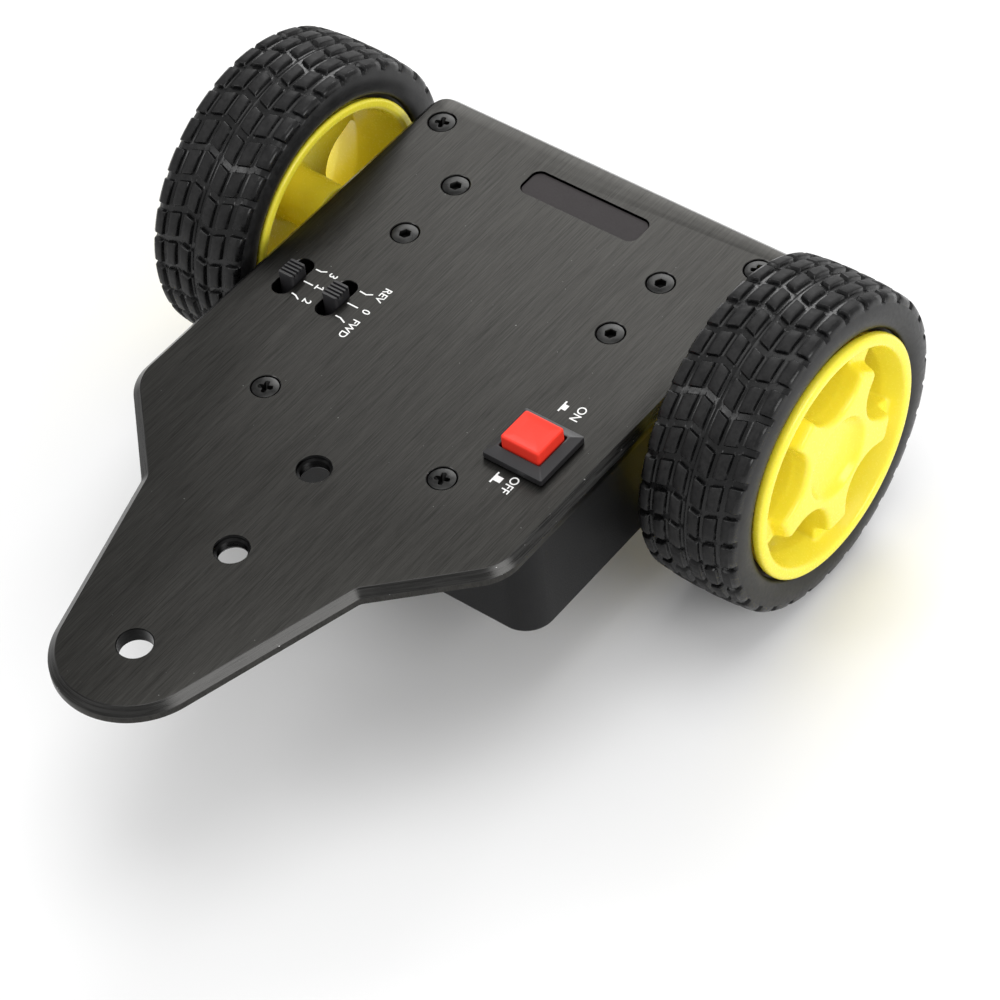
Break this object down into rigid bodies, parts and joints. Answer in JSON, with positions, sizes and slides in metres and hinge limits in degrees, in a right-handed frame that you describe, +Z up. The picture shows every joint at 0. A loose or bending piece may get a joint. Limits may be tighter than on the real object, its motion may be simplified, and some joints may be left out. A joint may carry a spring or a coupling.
{
  "type": "two-wheel motorised pusher chassis",
  "caption": "Motorised pusher chassis: chamfered metal deck with a perforated nose over a battery and gearmotor box, on spoked wheels with lugged tyres.",
  "frame": {"origin": "on the floor, centred under the bounding box; the axle is parallel to X, 48.15 mm towards +Y and 32.5 mm up", "axes": "+Z up; -Y towards the perforated nose, which is the pulling or pushing end; +X towards the wheel beside the power button"},
  "size_m": [0.14, 0.1614, 0.065],
  "materials": {
    "deck": "satin",
    "box": "satin",
    "hub": "gloss",
    "tyre": "matte",
    "button": "satin",
    "screw": "satin",
    "steel": "satin",
    "brass": "satin",
    "board": "satin",
    "cell": "satin",
    "nameplate": "satin",
    "motor_cap": "matte"
  },
  "bodies": {
    "chassis": {"axle_bush_left": "brass", "axle_bush_right": "brass", "battery_cell_1": "cell", "battery_cell_2": "cell", "battery_cell_3": "cell", "battery_contact_bridge_left": "steel", "battery_contact_bridge_right": "steel", "battery_contact_terminal_left": "steel", "battery_contact_terminal_right": "steel", "battery_door": "box", "battery_holder": "box", "bracket_screw_left_front": "screw", "bracket_screw_left_rear": "screw", "bracket_screw_right_front": "screw", "bracket_screw_right_rear": "screw", "control_board": "board", "direction_switch_body": "steel", "gearbox_frame_left": "brass", "gearbox_frame_right": "brass", "housing": "box", "housing_screw_front_left": "screw", "housing_screw_front_right": "screw", "housing_screw_rear_left": "screw", "housing_screw_rear_right": "screw", "motor_bracket_left": "steel", "motor_bracket_right": "steel", "motor_can_left": "steel", "motor_can_right": "steel", "motor_cap_left": "motor_cap", "motor_cap_right": "motor_cap", "nameplate": "nameplate", "power_bezel": "box", "power_switch_body": "box", "speed_switch_body": "steel", "top_plate": "deck"},
    "wheel_left": {"tyre_left": "tyre", "wheel_hub_left": "hub", "wheel_coupler_left": "brass", "output_shaft_left": "steel"},
    "third_gear_left": {"gear_third_left": "brass"},
    "second_gear_left": {"gear_second_left": "brass"},
    "first_gear_left": {"gear_first_left": "brass"},
    "rotor_left": {"motor_rotor_left": "steel"},
    "wheel_right": {"tyre_right": "tyre", "wheel_hub_right": "hub", "wheel_coupler_right": "brass", "output_shaft_right": "steel"},
    "third_gear_right": {"gear_third_right": "brass"},
    "second_gear_right": {"gear_second_right": "brass"},
    "first_gear_right": {"gear_first_right": "brass"},
    "rotor_right": {"motor_rotor_right": "steel"},
    "power_button": {"power_button": "button"},
    "speed_knob": {"speed_knob": "box"},
    "direction_knob": {"direction_knob": "box"}
  },
  "joints": [
    {"name": "left_wheel_spin", "type": "hinge", "parent": "chassis", "child": "wheel_left", "pos_m": [0, 0.04815, 0.0325], "axis": [1, 0, 0], "continuous": true},
    {"name": "left_third_gear_spin", "type": "hinge", "parent": "chassis", "child": "third_gear_left", "pos_m": [0, 0.04525, 0.0325], "axis": [1, 0, 0], "continuous": true},
    {"name": "left_second_gear_spin", "type": "hinge", "parent": "chassis", "child": "second_gear_left", "pos_m": [0, 0.04815, 0.0325], "axis": [1, 0, 0], "continuous": true},
    {"name": "left_first_gear_spin", "type": "hinge", "parent": "chassis", "child": "first_gear_left", "pos_m": [0, 0.04525, 0.0325], "axis": [1, 0, 0], "continuous": true},
    {"name": "left_rotor_spin", "type": "hinge", "parent": "chassis", "child": "rotor_left", "pos_m": [0, 0.04815, 0.0325], "axis": [1, 0, 0], "continuous": true},
    {"name": "right_wheel_spin", "type": "hinge", "parent": "chassis", "child": "wheel_right", "pos_m": [0, 0.04815, 0.0325], "axis": [1, 0, 0], "continuous": true},
    {"name": "right_third_gear_spin", "type": "hinge", "parent": "chassis", "child": "third_gear_right", "pos_m": [0, 0.04525, 0.0325], "axis": [1, 0, 0], "continuous": true},
    {"name": "right_second_gear_spin", "type": "hinge", "parent": "chassis", "child": "second_gear_right", "pos_m": [0, 0.04815, 0.0325], "axis": [1, 0, 0], "continuous": true},
    {"name": "right_first_gear_spin", "type": "hinge", "parent": "chassis", "child": "first_gear_right", "pos_m": [0, 0.04525, 0.0325], "axis": [1, 0, 0], "continuous": true},
    {"name": "right_rotor_spin", "type": "hinge", "parent": "chassis", "child": "rotor_right", "pos_m": [0, 0.04815, 0.0325], "axis": [1, 0, 0], "continuous": true},
    {"name": "power_press", "type": "slide", "parent": "chassis", "child": "power_button", "axis": [0, 0, -1], "range_m": [0, 0.002], "stiffness_N_per_m": 300},
    {"name": "speed_slide", "type": "slide", "parent": "chassis", "child": "speed_knob", "axis": [0, 1, 0], "range_m": [-0.0022, 0.0022]},
    {"name": "direction_slide", "type": "slide", "parent": "chassis", "child": "direction_knob", "axis": [0, 1, 0], "range_m": [-0.0022, 0.0022]}
  ],
  "couplings": [
    {"joint": "left_third_gear_spin", "follows": "left_wheel_spin", "ratio": -2.625},
    {"joint": "left_second_gear_spin", "follows": "left_wheel_spin", "ratio": 6.8906},
    {"joint": "left_first_gear_spin", "follows": "left_wheel_spin", "ratio": -18.088},
    {"joint": "left_rotor_spin", "follows": "left_wheel_spin", "ratio": 47.481},
    {"joint": "right_third_gear_spin", "follows": "right_wheel_spin", "ratio": -2.625},
    {"joint": "right_second_gear_spin", "follows": "right_wheel_spin", "ratio": 6.8906},
    {"joint": "right_first_gear_spin", "follows": "right_wheel_spin", "ratio": -18.088},
    {"joint": "right_rotor_spin", "follows": "right_wheel_spin", "ratio": 47.481}
  ]
}
